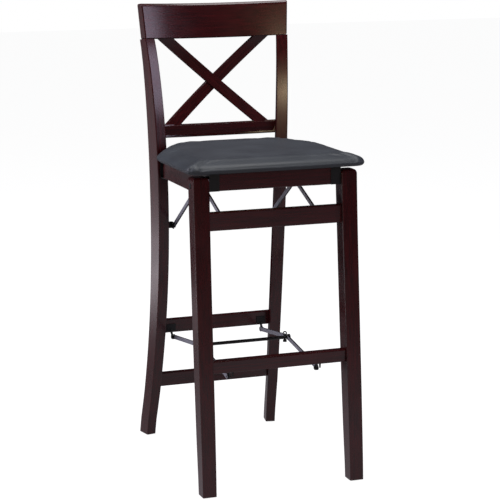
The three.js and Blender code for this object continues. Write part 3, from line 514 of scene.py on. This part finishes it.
def embossed_vinyl():
    """PVC coated fabric, calendered and embossed with a fine pebble: blue grey, with a low broad sheen."""
    pad = bpy.context.scene.stool_pad
    material, tree, shader = blank_material("embossed_vinyl")
    place = add_node(tree, "ShaderNodeTexCoord")
    # Real pebbles are about 0.7 mm apart; drawn 1.6 mm apart so that they show.
    pebbles = add_node(
        tree, "ShaderNodeTexVoronoi", {"feature": "SMOOTH_F1", "Scale": 1 / pad.pebble, "Smoothness": 0.6},
        {"Vector": place.outputs["Object"]})
    cloud = add_node(
        tree, "ShaderNodeTexNoise", {"Scale": 1 / VINYL_CLOUD, "Detail": 3.0},
        {"Vector": place.outputs["Object"]})
    relief = add_node(
        tree, "ShaderNodeBump", {"Strength": 0.22, "Distance": 0.12 * MILLIMETRE, "invert": True},
        {"Height": pebbles.outputs["Distance"]})
    tree.links.new(relief.outputs["Normal"], shader.inputs["Normal"])
    tone = add_node(tree, "ShaderNodeValToRGB", links={"Fac": cloud.outputs["Fac"]})
    tone.color_ramp.elements[0].position = 0.3
    tone.color_ramp.elements[0].color = linear(pad.vinyl)
    tone.color_ramp.elements[1].position = 0.7
    tone.color_ramp.elements[1].color = linear(pad.bloom)
    tree.links.new(tone.outputs["Color"], shader.inputs["Base Color"])
    rough = add_node(tree, "ShaderNodeMapRange", {
        "From Min": 0.3, "From Max": 0.7, "To Min": 0.46, "To Max": 0.56}, {"Value": cloud.outputs["Fac"]})
    tree.links.new(rough.outputs["Result"], shader.inputs["Roughness"])
    shader.inputs["IOR"].default_value = 1.5
    shader.inputs["Sheen Weight"].default_value = 0.05
    return material


def fill_pad(thing, settings):
    """Swells the vinyl over its foam by cloth simulation, with the underside held, and keeps the result."""
    mesh = thing.data
    start = [v.co.copy() for v in mesh.vertices]
    foot = min(v.z for v in start)
    held = thing.vertex_groups.new(name="held")
    for i, point in enumerate(start):
        rise = (point.z - foot) / HELD_RISE
        held.add([i], max(0.0, min(1.0, HELD_SHARE - rise)), "REPLACE")
    cloth = thing.modifiers.new("fill", "CLOTH")
    cloth.settings.use_pressure = True
    cloth.settings.uniform_pressure_force = settings.pressure
    cloth.settings.vertex_group_mass = "held"
    cloth.settings.quality = FILL_QUALITY
    cloth.settings.mass = VINYL_MASS
    cloth.settings.tension_stiffness = VINYL_STIFFNESS
    cloth.settings.compression_stiffness = VINYL_STIFFNESS
    cloth.settings.effector_weights.gravity = 0
    cloth.point_cache.frame_start = 1
    cloth.point_cache.frame_end = settings.frames
    scene = bpy.context.scene
    for step in range(1, settings.frames + 1):
        scene.frame_set(step)
    shaped = thing.evaluated_get(bpy.context.evaluated_depsgraph_get())
    filled = [v.co.copy() for v in shaped.data.vertices]
    thing.modifiers.remove(cloth)
    scene.frame_set(1)
    for vertex, before, after in zip(mesh.vertices, start, filled):
        move = after - before
        if move.length > settings.most_swell:
            move = move.normalized() * settings.most_swell
        vertex.co = before + move
    mesh.update()


class STOOL_OT_upholster_seat(bpy.types.Operator):
    """Make the padded vinyl seat in place of its plain solid"""

    bl_idname = "stool.upholster_seat"
    bl_label = "Upholster the seat"

    def execute(self, context):
        settings = context.scene.stool_pad
        solid = frame["nodes"]["seat_pad"]
        thing = bpy.data.objects.new("seat_cushion", solid.data.copy())
        context.collection.objects.link(thing)
        remesh = thing.modifiers.new("even", "REMESH")
        remesh.mode = "VOXEL"
        remesh.voxel_size = settings.voxel
        remesh.use_smooth_shade = True
        relax = thing.modifiers.new("relax", "SMOOTH")
        relax.factor = 0.5
        relax.iterations = 3
        even = thing.evaluated_get(context.evaluated_depsgraph_get())
        mesh = bpy.data.meshes.new_from_object(even)
        thing.modifiers.clear()
        thing.data = mesh
        fill_pad(thing, settings)
        for face in thing.data.polygons:
            face.use_smooth = True
        finer = thing.modifiers.new("finer", "SUBSURF")
        finer.levels = 1
        finer.render_levels = 1
        thing.data.materials.clear()
        thing.data.materials.append(embossed_vinyl())
        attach(thing, "seat")
        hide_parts("seat_pad")
        return {"FINISHED"}


# Studio

def add_lamp(name, place, target, size, power, colour):
    """A soft area lamp that faces a point of the stool."""
    lamp = bpy.data.lights.new(name, "AREA")
    lamp.shape = "DISK"
    lamp.size = size
    lamp.energy = power
    lamp.color = linear(colour)[:3]
    thing = bpy.data.objects.new(name, lamp)
    thing.location = place
    thing.rotation_euler = (Vector(target) - Vector(place)).to_track_quat("-Z", "Y").to_euler()
    bpy.context.collection.objects.link(thing)


def matt_paper(studio):
    """Matt paper: the camera sees it near white with the stool's soft shadow kept. In the lacquer it is
    bright only in front, in the lamp's pool and out to the left, and dark elsewhere."""
    material = bpy.data.materials.new("matt_paper")
    material.use_nodes = True
    tree = material.node_tree
    tree.nodes.clear()
    output = tree.nodes.new("ShaderNodeOutputMaterial")
    matt = add_node(tree, "ShaderNodeBsdfDiffuse", {"Color": linear(studio.floor)})
    thin = add_node(tree, "ShaderNodeBsdfDiffuse", {"Color": (FLOOR_MATT, FLOOR_MATT, FLOOR_MATT, 1.0)})
    glow = add_node(tree, "ShaderNodeEmission", {"Color": WHITE, "Strength": FLOOR_GLOW})
    pale = add_node(tree, "ShaderNodeAddShader", links={0: thin.outputs["BSDF"], 1: glow.outputs["Emission"]})
    place = add_node(tree, "ShaderNodeTexCoord")
    sides = add_node(tree, "ShaderNodeSeparateXYZ", links={"Vector": place.outputs["Object"]})
    from_front, from_pool = [
        add_node(
            tree, "ShaderNodeVectorMath", {"operation": "DISTANCE", 1: middle}, {0: place.outputs["Object"]})
        for middle in (studio.near_place, studio.pool_place)
    ]
    near, pool, left = [
        add_node(
            tree, "ShaderNodeMapRange", {
                "interpolation_type": "SMOOTHSTEP", "From Min": start, "From Max": end, "To Min": bright,
                "To Max": 0.0}, {"Value": reach})
        for reach, (start, end), bright in (
            (from_front.outputs["Value"], FRONT_FADE, studio.near_glow),
            (from_pool.outputs["Value"], POOL_FADE, studio.pool_glow),
            (sides.outputs["X"], LEFT_FADE, studio.left_glow),
        )
    ]
    near_and_pool = add_node(
        tree, "ShaderNodeMath", {"operation": "ADD"}, {0: near.outputs["Result"], 1: pool.outputs["Result"]})
    lit = add_node(
        tree, "ShaderNodeMath", {"operation": "ADD"},
        {0: near_and_pool.outputs["Value"], 1: left.outputs["Result"]})
    gloss = add_node(
        tree, "ShaderNodeEmission", {"Color": linear("f4eef6")}, {"Strength": lit.outputs["Value"]})
    path = add_node(tree, "ShaderNodeLightPath")
    seen = add_node(
        tree, "ShaderNodeMath", {"operation": "MAXIMUM"},
        {0: path.outputs["Is Camera Ray"], 1: path.outputs["Is Transmission Ray"]})
    lacquered = add_node(tree, "ShaderNodeMixShader", links={
        0: path.outputs["Is Glossy Ray"], 1: matt.outputs["BSDF"], 2: gloss.outputs["Emission"]})
    mixed = add_node(tree, "ShaderNodeMixShader", links={
        0: seen.outputs["Value"], 1: lacquered.outputs["Shader"], 2: pale.outputs["Shader"]})
    tree.links.new(mixed.outputs["Shader"], output.inputs["Surface"])
    return material


def studio_room(studio):
    """White to the camera, a dim even room to the stool, and nearly dark in its lacquer."""
    world = bpy.data.worlds.new("studio_room")
    world.use_nodes = True
    tree = world.node_tree
    tree.nodes.clear()
    output = tree.nodes.new("ShaderNodeOutputWorld")
    path = add_node(tree, "ShaderNodeLightPath")
    seen = add_node(
        tree, "ShaderNodeMath", {"operation": "MAXIMUM"},
        {0: path.outputs["Is Camera Ray"], 1: path.outputs["Is Transmission Ray"]})
    room, dark = [
        add_node(tree, "ShaderNodeBackground", {"Color": linear("c9ccd4"), "Strength": strength})
        for strength in (studio.room, studio.room_gloss)
    ]
    white = add_node(tree, "ShaderNodeBackground", {"Color": WHITE, "Strength": 1.0})
    around = add_node(tree, "ShaderNodeMixShader", links={
        0: path.outputs["Is Glossy Ray"], 1: room.outputs["Background"], 2: dark.outputs["Background"]})
    mixed = add_node(tree, "ShaderNodeMixShader", links={
        0: seen.outputs["Value"], 1: around.outputs["Shader"], 2: white.outputs["Background"]})
    tree.links.new(mixed.outputs["Shader"], output.inputs["Surface"])
    return world


def photo_camera(studio):
    """The photograph's camera, which first looks level towards the back and is then turned."""
    lens = bpy.data.cameras.new("photo_camera")
    lens.sensor_width = FRAME_WIDTH
    lens.lens = studio.lens
    lens.clip_start = NEAREST
    lens.clip_end = FURTHEST
    camera = bpy.data.objects.new("photo_camera", lens)
    turn = (
        Matrix.Rotation(studio.azimuth, 4, "Z")
        @ Matrix.Rotation(math.pi / 2 - studio.elevation, 4, "X")
        @ Matrix.Rotation(studio.roll, 4, "Z")
    )
    camera.matrix_world = Matrix.Translation(studio.camera_place) @ turn
    return camera


class STOOL_OT_set_studio(bpy.types.Operator):
    """Set the floor, lamps, surroundings and the camera of the photograph"""

    bl_idname = "stool.set_studio"
    bl_label = "Set the studio"

    def execute(self, context):
        studio = context.scene.stool_studio
        ground = bmesh.new()
        bmesh.ops.create_grid(ground, x_segments=1, y_segments=1, size=FLOOR_REACH)
        mesh = bpy.data.meshes.new("studio_floor")
        ground.to_mesh(mesh)
        ground.free()
        mesh.materials.append(matt_paper(studio))
        floor = bpy.data.objects.new("studio_floor", mesh)
        context.collection.objects.link(floor)
        context.scene.world = studio_room(studio)
        for lamp in LAMPS:
            add_lamp(*lamp)
        camera = photo_camera(studio)
        context.collection.objects.link(camera)
        context.scene.camera = camera
        context.scene.view_settings.view_transform = "Standard"
        return {"FINISHED"}


class STOOL_PT_sidebar(bpy.types.Panel):
    """Sizes, colours and steps of the stool"""

    bl_label = "Folding bar stool"
    bl_idname = "STOOL_PT_sidebar"
    bl_space_type = "VIEW_3D"
    bl_region_type = "UI"
    bl_category = "Stool"

    def draw(self, context):
        for heading, group, steps in (
            ("Wood", "stool_wood", (STOOL_OT_stain_wood,)),
            ("Steel", "stool_steel", (STOOL_OT_coat_steel, STOOL_OT_finish_hidden_parts)),
            ("Pad", "stool_pad", (STOOL_OT_upholster_seat,)),
            ("Studio", "stool_studio", (STOOL_OT_set_studio,)),
        ):
            block = self.layout.box()
            block.label(text=heading)
            settings = getattr(context.scene, group)
            for name in settings.__annotations__:
                block.prop(settings, name)
            for step in steps:
                block.operator(step.bl_idname, text=step.bl_label)


SETTINGS = {
    "stool_wood": WoodSettings,
    "stool_steel": SteelSettings,
    "stool_pad": PadSettings,
    "stool_studio": StudioSettings,
}
CLASSES = (
    WoodSettings,
    SteelSettings,
    PadSettings,
    StudioSettings,
    STOOL_OT_stain_wood,
    STOOL_OT_coat_steel,
    STOOL_OT_finish_hidden_parts,
    STOOL_OT_upholster_seat,
    STOOL_OT_set_studio,
    STOOL_PT_sidebar,
)


def register():
    for item in CLASSES:
        bpy.utils.register_class(item)
    for name, group in SETTINGS.items():
        setattr(bpy.types.Scene, name, PointerProperty(type=group))


def unregister():
    for name in SETTINGS:
        delattr(bpy.types.Scene, name)
    for item in reversed(CLASSES):
        bpy.utils.unregister_class(item)


def main():
    register()
    bpy.ops.stool.stain_wood()
    bpy.ops.stool.coat_steel()
    bpy.ops.stool.finish_hidden_parts()
    bpy.ops.stool.upholster_seat()
    bpy.ops.stool.set_studio()


if __name__ == "__main__":
    main()
